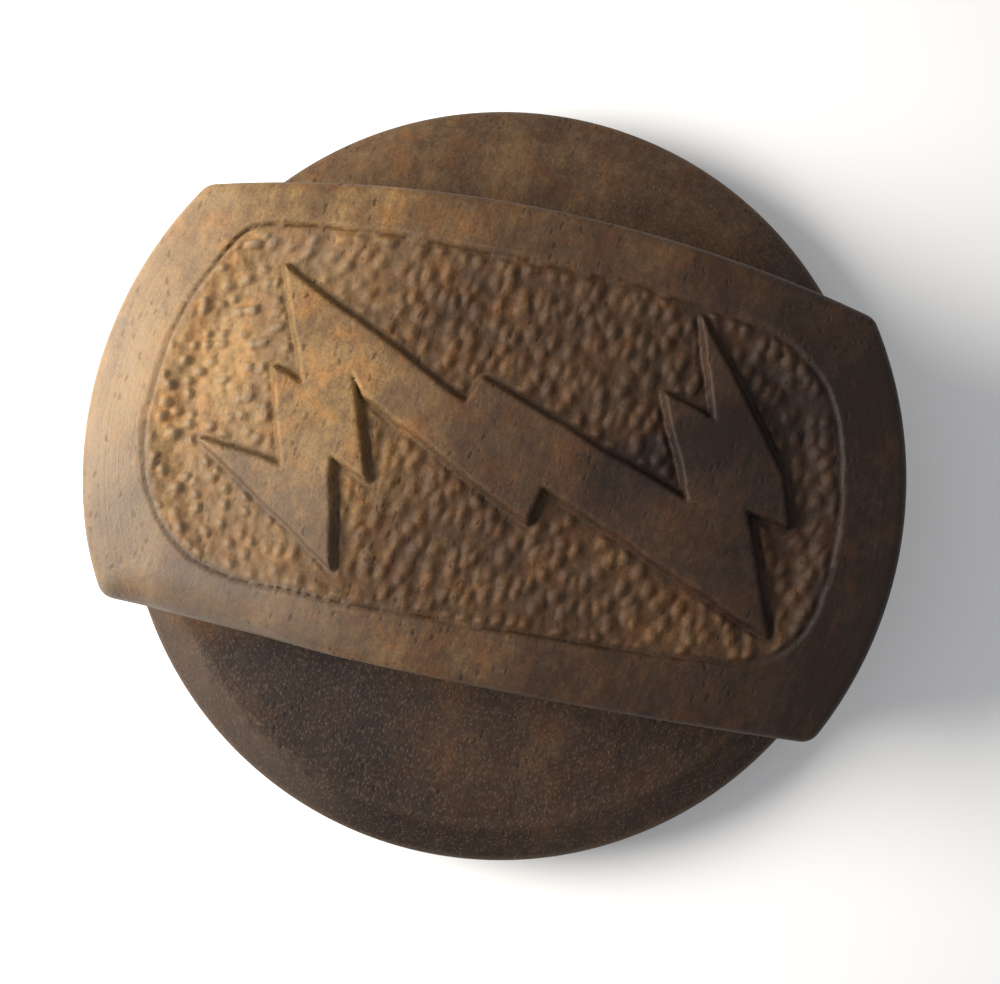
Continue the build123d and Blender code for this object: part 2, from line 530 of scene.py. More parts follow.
def plate_with_pockets(points, faces, rim_start, rim_count, pockets, count=28):
    """Close a ring with a flat plate that has round pockets, each (x, y, radius, depth)."""
    loops = [list(range(rim_start, rim_start + rim_count))]
    level = points[rim_start][2]
    for x, y, radius, depth in pockets:
        start = len(points)
        circle = (x, y) + radius * directions(count)
        for z in (level, level + depth):
            points.extend(np.column_stack([circle, np.full(count, z)]))
        points.append(np.array([x, y, level + depth]))
        faces.extend(tube_faces(start, 2, count))
        faces.extend(fan_faces(start + count, count, len(points) - 1))
        loops.append(list(range(start, start + count)))
    order = [index for loop in loops for index in loop]
    for triangle in tessellate_polygon([[Vector(points[i]) for i in loop] for loop in loops]):
        faces.append(tuple(order[i] for i in triangle))


# %% Build the bar
columns, rows = grid.shape[:2]
index = np.arange(columns * rows).reshape(columns, rows)
border = np.concatenate([index[:, 0], index[-1, 1:], index[-2::-1, -1], index[0, -2:0:-1]])
bar_points = list(np.column_stack([flat, height]))
bar_faces = [
    (int(index[i, j]), int(index[i + 1, j]), int(index[i + 1, j + 1]), int(index[i, j + 1]))
    for i in range(columns - 1)
    for j in range(rows - 1)
]
glue_chamfer = 0.07
side_steps = [0.2, 0.45, 0.7, 0.9, 1.0]
side, side_top, ring = flat[border], height[border], len(border)
ahead = np.roll(side, -1, axis=0) - np.roll(side, 1, axis=0)
outward = np.stack([ahead[:, 1], -ahead[:, 0]], axis=1) / np.linalg.norm(ahead, axis=1)[:, None]
first = len(bar_points)
for step in side_steps:
    level = side_top + (glue_face + glue_chamfer - side_top) * step
    bar_points.extend(np.column_stack([side, level]))
bar_points.extend(np.column_stack([side - outward * glue_chamfer, np.full(ring, glue_face)]))
bar_faces += [
    (int(border[i]), int(border[(i + 1) % ring]), first + (i + 1) % ring, first + i)
    for i in range(ring)
]
bar_faces += tube_faces(first, len(side_steps) + 1, ring)

dowel_radius, dowel_gap, hole_depth = 1.5, 0.05, 4.3
dowel_x = (dowels_high[0] - dowels_low[0]) / 2 - dowel_radius
dowel_y = (dowels_high[1] + dowels_low[1]) / 2
holes = [(x, dowel_y, dowel_radius + dowel_gap, hole_depth) for x in (-dowel_x, dowel_x)]
plate_with_pockets(bar_points, bar_faces, first + len(side_steps) * ring, ring, holes)
marks = {"open_ground": open_ground, "edge_wear": np.clip(edge_wear, 0, 1), "hollow": hollow}
off_top = np.zeros(len(bar_points) - len(flat))
marks = {label: np.append(values, off_top) for label, values in marks.items()}
carved_bar = make_piece("carved_bar", bar_points, bar_faces, marks)

# %% [markdown]
# # Nodes in plain words
# Geometry Nodes and materials are both trees of nodes. Written out call by call they are hard to
# read, so two small classes help: Wire is one output socket that can be used in sums, and Tree has
# one method that adds any other node. 1 - mask then simply works.

# %% Wire and Tree


class Wire:
    """An output socket. Sums with it add the Math nodes they need."""

    def __init__(self, tree, socket):
        self.tree, self.socket = tree, socket

    def math(self, operation, a, b=0.5, c=0.5):
        return self.tree.add("ShaderNodeMath", {"operation": operation}, {0: a, 1: b, 2: c})

    def __add__(self, other):
        return self.math("ADD", self, other)

    def __radd__(self, other):
        return self.math("ADD", other, self)

    def __sub__(self, other):
        return self.math("SUBTRACT", self, other)

    def __rsub__(self, other):
        return self.math("SUBTRACT", other, self)

    def __mul__(self, other):
        return self.math("MULTIPLY", self, other)

    def __rmul__(self, other):
        return self.math("MULTIPLY", other, self)

    def __truediv__(self, other):
        return self.math("DIVIDE", self, other)

    def __rtruediv__(self, other):
        return self.math("DIVIDE", other, self)

    def __neg__(self):
        return 0 - self

    def unsigned(self):
        """How far the value is from 0, on either side."""
        return self.math("ABSOLUTE", self)

    def clamp(self):
        """The same value held between 0 and 1."""
        return self.math("MINIMUM", self.math("MAXIMUM", self, 0.0), 1.0)

    def rise(self, low, high):
        """0 where this is below low, 1 above high, smooth between; high may be the smaller."""
        settings = {"interpolation_type": "SMOOTHSTEP"}
        if high >= low:
            return self.tree.add("ShaderNodeMapRange", settings, {0: self, 1: low, 2: high})
        return 1 - self.tree.add("ShaderNodeMapRange", settings, {0: self, 1: high, 2: low})


class Tree:
    """A node tree, of a material or of geometry nodes."""

    def __init__(self, nodes):
        self.nodes = nodes

    def add(self, kind, settings, inputs, output=0):
        """Any node: its type, its settings, its sockets' values or links, the output wanted."""
        node = self.nodes.nodes.new(kind)
        for key, value in settings.items():
            if key == "stops":
                elements = node.color_ramp.elements
                while len(elements) < len(value):
                    elements.new(0.5)
                for element, (place, colour) in zip(elements, value):
                    element.position = place
                    element.color = (*colour, 1)
            else:
                setattr(node, key, value)
        for key, value in inputs.items():
            if isinstance(value, Wire):
                self.nodes.links.new(value.socket, node.inputs[key])
            elif value is not None:
                node.inputs[key].default_value = value
        return Wire(self, node.outputs[output])

    def split(self, vector):
        """The x, y and z of a vector."""
        node = self.add("ShaderNodeSeparateXYZ", {}, {0: vector}).socket.node
        return [Wire(self, node.outputs[i]) for i in range(3)]

    def join(self, x, y, z):
        return self.add("ShaderNodeCombineXYZ", {}, {0: x, 1: y, 2: z})

    def scaled(self, vector, scale):
        """A vector with each of its parts multiplied."""
        return self.add("ShaderNodeVectorMath", {"operation": "MULTIPLY"}, {0: vector, 1: scale})

    def cloud(self, vector, scale, detail=2.0, roughness=0.5, distortion=0.0):
        """Soft noise, about 0.5 on average."""
        values = {"Vector": vector, "Scale": scale, "Detail": detail, "Roughness": roughness}
        return self.add("ShaderNodeTexNoise", {}, {**values, "Distortion": distortion})

    def length(self, x, y):
        """How far a place lies from the upright axis."""
        settings = {"operation": "LENGTH"}
        return self.add("ShaderNodeVectorMath", settings, {0: self.join(x, y, 0.0)}, "Value")

    def cells(self, vector, scale, randomness=1.0, dimensions="3D"):
        """A Voronoi pattern: how far the cell's middle is, and three numbers drawn by lot."""
        settings = {"voronoi_dimensions": dimensions, "feature": "F1"}
        values = {"Vector": vector, "Scale": scale, "Randomness": randomness}
        gap = self.add("ShaderNodeTexVoronoi", settings, values)
        return gap, self.split(Wire(self, gap.socket.node.outputs["Color"]))

    def lathe_marks(self, along):
        """Noise on a line, which makes rings where the line is a radius."""
        values = {"W": along, "Scale": 1.0, "Detail": 2.0}
        return self.add("ShaderNodeTexNoise", {"noise_dimensions": "1D"}, values)

    def attribute(self, name):
        """A number that the mesh keeps for each point."""
        settings = {"attribute_type": "GEOMETRY", "attribute_name": name}
        return self.add("ShaderNodeAttribute", settings, {}, "Fac")

    def ramp(self, stops, factor):
        """A colour between the stops, each of them its place and its colour."""
        return self.add("ShaderNodeValToRGB", {"stops": stops}, {"Fac": factor})

    def mix(self, factor, a, b, blend="MIX"):
        """Colour b over colour a."""
        a, b = [colour if isinstance(colour, Wire) else (*colour, 1) for colour in (a, b)]
        settings = {"data_type": "RGBA", "blend_type": blend}
        return self.add("ShaderNodeMix", settings, {0: factor, 6: a, 7: b}, 2)

    def dye(self, factor, a, b):
        """Colour a with b multiplied into it."""
        return self.mix(factor, a, b, "MULTIPLY")

    def bump(self, strength, distance, height):
        """The light's fall on a fine relief, with its depth in metres."""
        values = {"Strength": strength, "Distance": distance, "Height": height}
        return self.add("ShaderNodeBump", {}, values, "Normal")


print("node helpers ready")

# %% [markdown]
# # The stippled ground
# After lowering the ground, the carver textures it with a small hollow punch, which leaves raised
# round beads. There are several hundred, so they are not placed by hand: a Geometry Nodes tree
# raises one bead in each cell of a Voronoi pattern. Its named inputs are what a carver would
# choose: the spacing of the punch, the height of a bead and how uneven the hand was. Towards the
# +X end the beads run together and stretch across the bar; at the -X end they stand apart.

# %% Geometry nodes for the beads


def bead_tree():
    group = bpy.data.node_groups.new("stippled_ground", "GeometryNodeTree")
    sockets = {
        "Geometry": "Geometry", "Bead spacing": "Float", "Bead height": "Float",
        "Unevenness": "Float", "Seed": "Float", "Wood": "Material",
    }
    for label, kind in sockets.items():
        group.interface.new_socket(label, in_out="INPUT", socket_type="NodeSocket" + kind)
    group.interface.new_socket("Geometry", in_out="OUTPUT", socket_type="NodeSocketGeometry")
    tree = Tree(group)
    entry = group.nodes.new("NodeGroupInput")
    given = {socket.name: Wire(tree, socket) for socket in entry.outputs if socket.name}

    x, y, z = tree.split(tree.add("GeometryNodeInputPosition", {}, {}))
    spacing = given["Bead spacing"]
    along = (x / MM).rise(-20.0, -6.0)
    drift = tree.cloud(tree.join(x, y, given["Seed"]), 520.0, 1.0)
    drift_across = tree.cloud(tree.join(y, x, given["Seed"] + 3.0), 520.0, 1.0)
    wander = given["Unevenness"] * spacing
    cell_x = (x + (drift - 0.5) * wander - y * 0.12 * along) / (spacing * (1.0 - 0.08 * along))
    cell_y = (y + (drift_across - 0.5) * wander) / (spacing * (1.0 + 0.34 * along))
    place = tree.join(cell_x, cell_y, 0.0)
    single, (lot, size_lot, _) = tree.cells(place, 1.0, 0.74, "2D")
    merged = tree.add(
        "ShaderNodeTexVoronoi",
        {"voronoi_dimensions": "2D", "feature": "SMOOTH_F1"},
        {"Vector": place, "Scale": 1.0, "Randomness": 0.95, "Smoothness": 0.22},
    )
    part = (single / (0.31 + size_lot * 0.12)).clamp()
    round_bead = (1.0 - part * part) * (0.9 + 0.5 * size_lot) * lot.rise(0.10, 0.16)
    run_together = 1.0 - merged.rise(0.05, 0.60)
    bead = round_bead * (1.0 - along) + run_together * along
    pebble = tree.cloud(tree.join(x, y * 0.7, given["Seed"] + 9.0), 1500.0, 2.0)
    name = {"Name": "open_ground"}
    ground = tree.add("GeometryNodeInputNamedAttribute", {"data_type": "FLOAT"}, name)
    rise = (bead + (pebble - 0.5) * (1.7 - 0.8 * along)) * ground

    moved = tree.add(
        "GeometryNodeSetPosition",
        {},
        {"Geometry": given["Geometry"], "Offset": tree.join(0.0, 0.0, rise * given["Bead height"])},
    )
    stored = tree.add(
        "GeometryNodeStoreNamedAttribute",
        {"data_type": "FLOAT", "domain": "POINT"},
        {"Geometry": moved, "Name": "bead", "Value": rise},
    )
    whole = tree.add("GeometryNodeRealizeInstances", {}, {"Geometry": stored})
    wood = {"Geometry": whole, "Material": given["Wood"]}
    finished = tree.add("GeometryNodeSetMaterial", {}, wood)
    leave = group.nodes.new("NodeGroupOutput")
    group.links.new(finished.socket, leave.inputs["Geometry"])
    return group


def run_nodes(piece, group, values):
    """Put a piece through a geometry nodes tree and keep the result as its plain mesh."""
    modifier = piece.modifiers.new(group.name, "NODES")
    modifier.node_group = group
    for item in group.interface.items_tree:
        if item.item_type == "SOCKET" and item.in_out == "INPUT" and item.name in values:
            modifier[item.identifier] = values[item.name]
    bpy.context.view_layer.update()
    graph = bpy.context.evaluated_depsgraph_get()
    mesh = bpy.data.meshes.new_from_object(piece.evaluated_get(graph), depsgraph=graph)
    piece.modifiers.clear()
    old = piece.data
    piece.data = mesh
    bpy.data.meshes.remove(old)
    mesh.name = piece.name
    print(f"{piece.name} after {group.name}: {len(mesh.polygons)} faces")


# %% [markdown]
# # Walnut
# Oiled walnut is a warm, fairly dark brown. What makes it read as wood is laid on in layers, from
# large to small: clouds of lighter and darker heartwood, growth bands, fine fibre streaks along
# the grain, and the long pores, which show as short dark dashes on a face and as dots on end
# grain. All of it is read from the place inside the block, so the pattern runs through the wood
# and meets correctly at every edge. The grain runs across the bar.

# %% The walnut recipe
grain_turn = (0.05, 0.0, math.radians(7))
walnut_tones = [
    (0.0, (0.0145, 0.0082, 0.0058)),
    (0.25, (0.0305, 0.0166, 0.0098)),
    (0.5, (0.0590, 0.0325, 0.0165)),
    (0.75, (0.1180, 0.0685, 0.0295)),
    (1.0, (0.2360, 0.1440, 0.0570)),
]


def new_material(name):
    """A material, its empty tree, and the place in the block that its patterns read."""
    material = bpy.data.materials.new(name)
    material.use_nodes = True
    material.node_tree.nodes.clear()
    tree = Tree(material.node_tree)
    return material, tree, tree.add("ShaderNodeTexCoord", {}, {}, "Object")


def finish_material(tree, values):
    """Give the tree its shader, with these values on its sockets, and its output."""
    shader = tree.add("ShaderNodeBsdfPrincipled", {}, values)
    out = tree.nodes.nodes.new("ShaderNodeOutputMaterial")
    tree.nodes.links.new(shader.socket, out.inputs["Surface"])


def walnut(name, carved):
    """Oiled walnut. The carved bar also has grime and painted shade in its hollows, wear and a
    painted highlight on its edges, and painted light and sheen at its -X end.
    """
    material, tree, place = new_material(name)
    lift = (0.0, 0.0, 0.0 if carved else 0.004)        # so that the two pieces differ
    turned = {"Vector": place, "Rotation": grain_turn, "Location": lift}
    grain = tree.add("ShaderNodeMapping", {"vector_type": "POINT"}, turned)
    x, y, z = tree.split(place)
    x_mm, y_mm, z_mm = x / MM, y / MM, z / MM
    from_middle = tree.length(x_mm, y_mm)

    def drawn_out(vector, share):
        """A place whose pattern is long in the grain: 0.2 makes it 5 times as long as wide."""
        return tree.scaled(vector, (1.0, share, 1.0))

    clouds = tree.cloud(drawn_out(grain, 0.6), 95.0, 4.0, 0.6, 0.5)
    bands = tree.cloud(drawn_out(grain, 0.2), 360.0, 4.0, 0.65, 0.6)
    fibres = tree.cloud(drawn_out(grain, 0.09), 3600.0, 2.0, 0.6)
    patches = tree.cloud(drawn_out(grain, 0.55), 430.0, 3.0, 0.6)
    mottle = tree.cloud(drawn_out(grain, 0.7), 1500.0, 3.0, 0.7)
    dust = tree.cloud(place, 5200.0, 2.0, 0.7)
    tone = (clouds - 0.5) * 0.70 + (bands - 0.5) * 0.35 + (fibres - 0.5) * 0.12
    tone = tone + (patches - 0.5) * 0.45 + (mottle - 0.5) * 0.52 + (dust - 0.5) * 0.34

    # Pores are long cells with crooked edges. Some are left out, and they crowd in bands.
    nudge = {"Vector": place, "Scale": 2600.0, "Detail": 1.0}
    nudge = tree.add("ShaderNodeTexNoise", {}, nudge, "Color")
    nudge = tree.add("ShaderNodeVectorMath", {"operation": "SCALE"}, {0: nudge, "Scale": 0.00032})
    bent = tree.add("ShaderNodeVectorMath", {"operation": "ADD"}, {0: grain, 1: nudge})
    pore_gap, (pore_lot, _, _) = tree.cells(drawn_out(bent, 0.42), 2500.0)
    crowd = tree.cloud(drawn_out(grain, 0.2), 230.0, 2.0, 0.5).rise(0.38, 0.62)
    pores = (1 - pore_gap.rise(0.08, 0.40)) * pore_lot.rise(0.55, 0.75) * (0.15 + 0.75 * crowd)

    if carved:
        # A dark figure crosses the +X half; the rim and bolts of the -X half get painted light.
        ground, low_side = tree.attribute("open_ground"), (-y_mm).rise(-3.0, 7.0)
        figure_gap = y_mm - x_mm * 0.56 + 3.4 + (clouds - 0.5) * 7.0
        figure = (1 - figure_gap.unsigned().rise(0.5, 3.4)) * x_mm.rise(1.0, 9.0)
        shade = low_side * (-x_mm).rise(8.0, 18.0) * 0.15
        warm_end = low_side * x_mm.rise(2.0, 12.0) * (1 - x_mm.rise(19.0, 22.0)) * ground * 0.2
        # Painted light on the rim and bolts of the -X half, on the +Y side.
        painted_light_near_lamp = (-x_mm).rise(0.0, 12.0) * (1 - from_middle.rise(18.5, 20.0))
        painted_light_near_lamp = painted_light_near_lamp * y_mm.rise(-5.0, 2.0) * (1 - ground) * 0.10
        # Tone falls towards +X: partly darker wood, partly painted shade of the lamp's fall-off.
        tone = tone + 0.50 - x_mm * 0.0195 - figure * 0.22 - shade + warm_end + painted_light_near_lamp
        tone = tone + x_mm.rise(11.0, 17.0) * ground * 0.08
    else:
        # The shoulder at -X, -Y is darker, with a stain and a pale sweep along the bar's foot.
        low_left = (-x_mm - y_mm).rise(12.0, 25.0)
        on_bevel = (from_middle + (mottle - 0.5) * 2.2).rise(22.0, 23.2)
        on_bevel = on_bevel * (-x_mm - y_mm * 0.3).rise(9.0, 18.0)
        # Tone falls towards +X, partly darker wood and partly painted shade; lighter on the +Y
        # side.
        tone = tone + 0.25 - x_mm * 0.011 + y_mm.rise(-4.0, 4.0) * 0.21
        tone = tone - low_left * (0.31 - on_bevel * 0.18)
        from_stain = tree.length(x_mm + 11.4, (y_mm + 14.3) * 1.4)
        stain = 1 - (from_stain + (mottle - 0.5) * 4.0).rise(1.0, 5.0)
        foot_gap = -y_mm - 12.4 + (mottle - 0.5) * 0.8
        sweep = (1 - foot_gap.rise(0.1, 2.2)) * (-x_mm).rise(6.0, 11.0) * (-y_mm).rise(8.0, 10.0)
        tone = tone - stain * 0.2 + sweep * 0.3

    colour = tree.ramp(walnut_tones, tone)
    rust = tree.cloud(place, 520.0, 4.0, 0.65).rise(0.44, 0.66)
    colour = tree.dye(rust * 0.6, colour, (1.30, 0.96, 0.66))
    colour = tree.mix(pores * 0.62, colour, (0.013, 0.008, 0.006))
    dull = 0.58 + (mottle - 0.5) * 0.2 + pores * 0.35 + (fibres - 0.5) * 0.12
    lathe = (tree.lathe_marks(from_middle * 4.2) - 0.5) * 0.6

    if carved:
        # The stipple: dark between the beads, a painted highlight on their tops, and a painted pale
        # highlight on the beads that stand alone.
        bead = tree.attribute("bead")
        colour = tree.dye(ground * 0.8, colour, (1.14, 1.09, 0.96))
        between = (1 - bead.rise(-0.1, 0.45)) * ground * x_mm.rise(-20.0, -4.0)
        colour = tree.dye(between * 0.45, colour, (0.40, 0.36, 0.36))
        # Painted highlight: the tops of the beads are lightened, with a bluish tint.
        colour = tree.dye(bead.rise(0.4, 0.9) * ground * 0.4, colour, (1.0, 1.06, 1.15))
        # Paler ground towards -X: partly the wood, partly painted light on the lamp's side.
        pale_end = (-x_mm).rise(4.0, 16.0) * ground
        colour = tree.mix(pale_end * 0.2, colour, (0.32, 0.225, 0.14))
        # Painted highlight: the lone beads towards -X go a pale grey-tan.
        lone_bead_highlight = bead.rise(0.3, 1.2) * ground * (1 - x_mm.rise(-16.0, -8.0))
        colour = tree.mix(lone_bead_highlight * 0.42, colour, (0.215, 0.170, 0.125))
        # Then grime and painted shade in the cuts, wear and a painted highlight on the edges,
        # the polished end with painted sheen, and the greyer side.
        # Grime and painted shade in the cuts.
        colour = tree.dye(tree.attribute("hollow") * 0.55, colour, (0.3, 0.26, 0.26))
        # Wear and a painted highlight on the edges.
        colour = tree.dye(tree.attribute("edge_wear") * 0.4, colour, (1.7, 1.65, 1.6))
        # Painted sheen: pale grey-tan over the -X end; the polish also lowers the roughness there.
        polish_and_painted_sheen = (-x_mm).rise(14.0, 25.0) * (1 - ground)
        painted_sheen_share = polish_and_painted_sheen * (0.12 + 0.36 * y_mm.rise(-10.0, 4.0))
        colour = tree.mix(painted_sheen_share, colour, (0.26, 0.195, 0.135))
        grey_side = low_side * (-x_mm).rise(2.0, 14.0) * (1 - ground)
        colour = tree.mix(grey_side * 0.5, colour, (0.108, 0.090, 0.074))
        dull = dull + ground * 0.08 - polish_and_painted_sheen * 0.12
        lathe = lathe * from_middle.rise(20.5, 22.5)
    else:
        # End grain shows pale specks, and the crease and the rim of the bevel get wear and a
        # painted highlight.
        speck_gap, (speck_lot, _, _) = tree.cells(drawn_out(bent, 0.45), 7200.0)
        specks = (1 - speck_gap.rise(0.05, 0.6)) * speck_lot.rise(0.1, 0.8)
        colour = tree.mix(low_left * on_bevel * 0.5, colour, (0.052, 0.041, 0.034))
        colour = tree.mix(specks * 0.36, colour, (0.150, 0.100, 0.064))
        crease_gap = (from_middle - 22.4).unsigned()
        crease = (1 - crease_gap.rise(0.05, 0.5)) * z_mm.rise(6.0, 6.3)
        rim_edge_wear_and_highlight = from_middle.rise(24.5, 24.9) * z_mm.rise(4.5, 4.9)
        # Wear and a painted highlight on the crease and on the rim of the bevel.
        colour = tree.mix(crease * 0.05 + rim_edge_wear_and_highlight * 0.22, colour, (0.135, 0.090, 0.058))

    sanding = tree.cloud(tree.scaled(place, (0.3, 1.0, 1.0)), 5200.0, 1.0)
    relief = fibres * 0.3 - pores * 1.2 + sanding * 0.3 + mottle * 1.2 + dust * 0.5 + lathe
    values = {"Base Color": colour, "Roughness": dull.clamp(), "IOR": 1.28}
    finish_material(tree, {**values, "Normal": tree.bump(0.55, 0.00006, relief)})
    return material


bar_walnut = walnut("walnut_carved_bar", True)
base_walnut = walnut("walnut_turned_base", False)
print("walnut:", len(bar_walnut.node_tree.nodes), "and", len(base_walnut.node_tree.nodes), "nodes")

# %% Stipple the bar
carved_bar.data.materials.append(bar_walnut)
run_nodes(
    carved_bar,
    bead_tree(),
    {
        "Bead spacing": 0.98 * MM,
        "Bead height": 0.25 * MM,
        "Unevenness": 0.5,
        "Seed": 4.0,
        "Wood": bar_walnut,
    },
)
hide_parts("grip_bar")
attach(carved_bar, "root")

# %% [markdown]
# # The turned base
# The base is turned on a lathe: a plain wall, a broken edge at the foot, a bevel round the two
# shoulders that show beside the bar. Where the bar stands, the wood is left a little higher, and a
# small cove leads up to it. The mesh is made as a turner would see it: one profile for each
# direction round the middle, with its points close together where the cove and the bevel turn.

# %% Profiles round the base
turns = 720
wall_height = 4.5
bevel_width, bevel_height = 2.5, 1.5
cove, wide_cove = 0.8, 2.6         # the wide one is at the -X end of the -Y side
arris = 0.5                # rounding where the wall meets the bevel
foot_edge = [(0.5, 0.0), (0.25, 0.16), (0.0, 0.5)]     # broken: how far in, how far up
bevel_bottom = base_bottom + wall_height
rays = directions(turns)
line = bar_outline.points
line_angles = np.arctan2(line[:, 1], line[:, 0])
order = np.argsort(line_angles)
land_reach = np.interp(
    np.arctan2(rays[:, 1], rays[:, 0]),
    line_angles[order],
    np.linalg.norm(line, axis=1)[order],
    period=2 * math.pi,
)
land_reach = np.minimum(land_reach, blank_radius)
room = blank_radius - land_reach


def base_ring(radius, z):
    """One ring of the base; radius and height are numbers or one value for each direction."""
    reach = np.broadcast_to(radius, (turns,))
    return np.column_stack([rays * reach[:, None], np.broadcast_to(z, (turns,))])


base_rings = [base_ring(blank_radius - inset, base_bottom + up) for inset, up in foot_edge]
base_rings += [base_ring(blank_radius, base_bottom + up) for up in (1.3, 2.2, 3.2)]
lean = math.pi / 2 - math.atan2(bevel_height, bevel_width)
softness = arris * np.clip(room / 1.2, 0, 1)
run = softness * math.tan(lean / 2)
for turn in np.linspace(0, lean, 6):
    last = blank_radius - softness * (1 - math.cos(turn))
    base_rings.append(base_ring(last, bevel_bottom - run + softness * math.sin(turn)))
shoulder_steps = 44
crease = blank_radius - bevel_width
for step in range(1, shoulder_steps + 1):
    share = (1 - step / shoulder_steps) ** 1.6
    reach = land_reach + (last - land_reach) * share
    near_crease = (np.abs(reach - crease) < 0.24) & (room > 3.2)
    reach = np.where(near_crease, crease, reach)
    spots = rays * reach[:, None]
    gap = np.maximum(-inside_distance(spots, bar_outline.points)[0], 0)
    if step == shoulder_steps:
        gap = np.zeros(turns)
    wall_side = np.clip((blank_radius - reach) / bevel_width, 0, 1)
    skin = bevel_bottom + bevel_height * (wall_side - 0.06 * groove(wall_side, 1.0, 0.22))
    skin += 0.03 * rough(spots, 5.0, 11.0)
    wide_side = ease(-spots[:, 1], 8, 10) * ease(-spots[:, 0], 5, 11)
    cove_here = cove + (wide_cove - cove) * wide_side
    curve = 1 - np.sqrt(np.maximum(1 - (1 - np.clip(gap / cove_here, 0, 1)) ** 2, 0))
    base_rings.append(base_ring(reach, skin + (glue_face - glue_chamfer - skin) * curve))
base_rings.append(base_ring(land_reach - glue_chamfer, glue_face))

# %% Build the base
base_points = list(np.concatenate(base_rings))
base_faces = tube_faces(0, len(base_rings), turns)
land_start = (len(base_rings) - 1) * turns
base_holes = [(x, y, radius, -depth) for x, y, radius, depth in holes]
plate_with_pockets(base_points, base_faces, land_start, turns, base_holes)

pocket_gap = 0.1           # between the wood and what lies in it
recess, slug_pocket = felt_radius + pocket_gap, slug_radius + pocket_gap
under = [(blank_radius - foot_edge[0][0], base_bottom), (recess, base_bottom), (recess, felt_top),
         (slug_pocket, felt_top), (slug_pocket, slug_top)]
start = len(base_points)
for radius, z in under:
    base_points.extend(base_ring(radius, z))
base_faces += tube_faces(start, len(under), turns)
base_points.append(np.array([0.0, 0.0, slug_top]))
base_faces += fan_faces(start + (len(under) - 1) * turns, turns, len(base_points) - 1)
turned_base = make_piece("turned_base", base_points, base_faces)
turned_base.data.materials.append(base_walnut)
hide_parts("base_disc")
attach(turned_base, "root")

# %% [markdown]
# # Felt under the base
# The felt keeps the button from scratching the table. Pressed felt has no weave: it is a mat of
# short fibres lying every way, a little uneven and soft at its cut edge. The lumps are in the
# mesh. The single fibres are finer than anything the mesh could carry, so they are in the finish.

# %% Build the felt
felt_turns = 300
felt_edge = [                      # how far in from the edge, and the height
    (0.35, 0.06), (0.12, 0.2), (0.02, 0.42), (0.0, 0.7), (0.02, 1.0), (0.1, 1.13), (0.3, 1.2),
]
felt_rays = directions(felt_turns)
under_radii = np.linspace(0.6, felt_radius - 0.7, 54)
felt_points = [np.array([0.0, 0.0, 0.06])]
for radius in under_radii:
    spots = felt_rays * radius
    lumps = 0.07 + 0.05 * rough(spots, 1.4, 21.0)
    felt_points.extend(np.column_stack([spots, np.maximum(lumps, 0.0)]))
for inset, z in felt_edge:
    spots = felt_rays * (felt_radius - inset)
    shrink = 1 - 0.0012 * (1 + rough(spots, 0.8, 23.0))
    felt_points.extend(np.column_stack([spots * shrink[:, None], np.full(felt_turns, z)]))
felt_points.append(np.array([0.0, 0.0, felt_top]))
felt_rings = len(under_radii) + len(felt_edge)
felt_faces = fan_faces(1, felt_turns, 0)
felt_faces += tube_faces(1, felt_rings, felt_turns)
felt_faces += fan_faces(1 + (felt_rings - 1) * felt_turns, felt_turns, len(felt_points) - 1)
felt = make_piece("felt", felt_points, felt_faces)


# %% The felt's finish


def felt_finish():
    """Dark grey-green wool felt: mottled, matt, with a soft bloom."""
    material, tree, place = new_material("pressed_felt")
    x, y, z = tree.split(place)
    mottle = tree.cloud(place, 900.0, 3.0, 0.65)
    warp = (tree.cloud(place, 2600.0, 2.0) - 0.5) * 0.0012
    strands = tree.cloud(tree.join(x + warp, y * 0.2, z), 5200.0, 2.0, 0.6)
    strands_across = tree.cloud(tree.join(x * 0.2, y + warp, z), 5200.0, 2.0, 0.6)
    mat = strands.math("MAXIMUM", strands, strands_across)
    greens = [(0, (0.012, 0.030, 0.020)), (0.5, (0.026, 0.062, 0.042)), (1, (0.060, 0.115, 0.082))]
    colour = tree.ramp(greens, mottle * 0.5 + mat * 0.6 - 0.12)
    relief = tree.bump(0.8, 0.00012, mat + mottle * 0.6)
    values = {"Base Color": colour, "Roughness": 0.95, "Normal": relief, "IOR": 1.4}
    finish_material(tree, {**values, "Sheen Weight": 0.35, "Sheen Roughness": 0.5})
    return material


felt.data.materials.append(felt_finish())
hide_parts("felt_pad")
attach(felt, "root")

# %% [markdown]
# # The pieces inside
# The dowels and the steel slug keep their measured shape. They only show when the button is taken
# apart, but they get proper finishes too: pale beech with fine flecks, and steel as it leaves the
# lathe, with rings on its faces.

# %% Beech and turned steel


def beech_finish():
    material, tree, place = new_material("beech_dowel")
    streaks = tree.cloud(tree.scaled(place, (1.0, 1.0, 0.08)), 2600.0, 3.0, 0.6)
    flecks = tree.cloud(tree.scaled(place, (1.0, 1.0, 0.3)), 4200.0, 1.0).rise(0.62, 0.7)
    colour = tree.ramp([(0.2, (0.33, 0.19, 0.10)), (0.8, (0.55, 0.37, 0.22))], streaks)
    colour = tree.mix(flecks * 0.5, colour, (0.25, 0.13, 0.07))
    values = {"Base Color": colour, "Roughness": 0.62 + (streaks - 0.5) * 0.2}
    finish_material(tree, {**values, "Normal": tree.bump(0.4, 0.00004, streaks)})
    return material


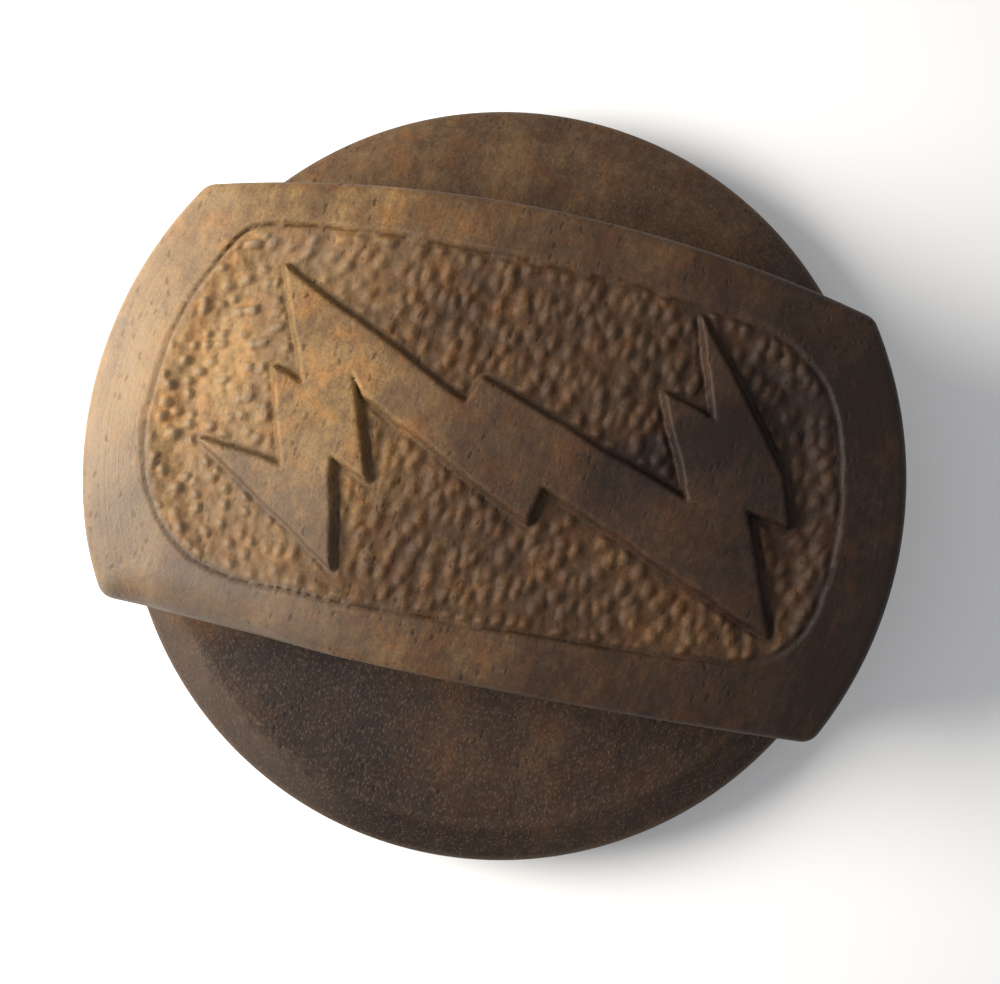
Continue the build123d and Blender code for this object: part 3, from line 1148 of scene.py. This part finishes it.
def steel_finish():
    material, tree, place = new_material("turned_steel")
    x, y, z = tree.split(place)
    rings = tree.lathe_marks(tree.length(x, y) * 6000.0 + z * 3000.0)
    stain = tree.cloud(place, 240.0, 3.0)
    colour = tree.ramp([(0.3, (0.42, 0.41, 0.39)), (0.7, (0.56, 0.56, 0.55))], stain)
    values = {"Base Color": colour, "Metallic": 1.0, "Roughness": 0.3 + stain * 0.15}
    finish_material(tree, {**values, "Normal": tree.bump(0.5, 0.00003, rings)})
    return material


for node, material in (("locating_dowels", beech_finish()), ("weight_slug", steel_finish())):
    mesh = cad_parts[node].data
    if mesh.materials:
        for slot in range(len(mesh.materials)):
            mesh.materials[slot] = material
    else:
        mesh.materials.append(material)
    print(node, "gets", material.name)

# %% [markdown]
# # Floor, light and camera
# The button lies on a plain white table. One soft lamp stands close on its left, so the light
# falls off strongly towards the right and the shadow lies there; the rest is pale light from all
# round. The camera looks almost straight down from close above, so the parts that are nearer to
# it look larger than those further down.

# %% Floor


def floor_finish():
    material, tree, place = new_material("white_table")
    faint = tree.cloud(place, 60.0, 2.0)
    colour = tree.mix(faint * 0.3, (0.86, 0.86, 0.86), (0.82, 0.82, 0.83))
    finish_material(tree, {"Base Color": colour, "Roughness": 0.7})
    return material


floor_half = 1.5           # metres
floor_mesh = bpy.data.meshes.new("floor")
corners = ((-1, -1), (1, -1), (1, 1), (-1, 1))
floor_corners = [(x * floor_half, y * floor_half, 0) for x, y in corners]
floor_mesh.from_pydata(floor_corners, [], [(0, 1, 2, 3)])
floor = bpy.data.objects.new("floor", floor_mesh)
floor.data.materials.append(floor_finish())
bpy.context.scene.collection.objects.link(floor)
floor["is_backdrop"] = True

# %% Light


def aim(thing, place, target, up):
    """Stand a lamp or camera at a place and point it at a target, both in millimetres."""
    place, target = Vector(place), Vector(target)
    back = (place - target).normalized()
    right = Vector(up).cross(back).normalized()
    true_up = back.cross(right)
    turned = Matrix((right, true_up, back)).transposed().to_4x4()
    thing.matrix_world = Matrix.Translation(place * MM) @ turned


def soft_lamp(name, place, target, width, power, colour):
    data = bpy.data.lights.new(name, "AREA")
    data.shape = "DISK"
    data.size = width * MM
    data.energy = power
    data.color = colour
    lamp = bpy.data.objects.new(name, data)
    bpy.context.scene.collection.objects.link(lamp)
    aim(lamp, place, target, (0, 1, 0))
    lamp.visible_camera = False
    return lamp


soft_lamp("window", (-94, -8, 84), (2, 0, 8), 84, 0.31, (1.0, 0.955, 0.89))
world = bpy.data.worlds.new("pale_room")
world.use_nodes = True
background = world.node_tree.nodes["Background"]
background.inputs["Color"].default_value = (0.97, 0.98, 1.0, 1)
background.inputs["Strength"].default_value = 0.52
bpy.context.scene.world = world
bpy.context.scene.view_settings.view_transform = "Standard"

# %% Camera
camera_data = bpy.data.cameras.new("camera")
camera_data.sensor_fit = "HORIZONTAL"
camera_data.sensor_width = 36.0
camera_data.lens = 50.4
camera_data.clip_start = 0.005
camera = bpy.data.objects.new("camera", camera_data)
bpy.context.scene.collection.objects.link(camera)
roll = math.radians(11.3)
aim(camera, (6.14, -3.58, 97.95), (0.96, -0.91, 14.0), (-math.sin(roll), math.cos(roll), 0))
bpy.context.scene.camera = camera

# %% [markdown]
# The finished pieces must fill the same space as the measured model. Both boxes are printed,
# so that they can be compared.

# %% Print the boxes and finish
seen_box = [list(corner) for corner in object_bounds()]
for label, box in (("visual", seen_box), ("measured", cad_box)):
    print(label, [[round(v / MM, 3) for v in corner] for corner in box])
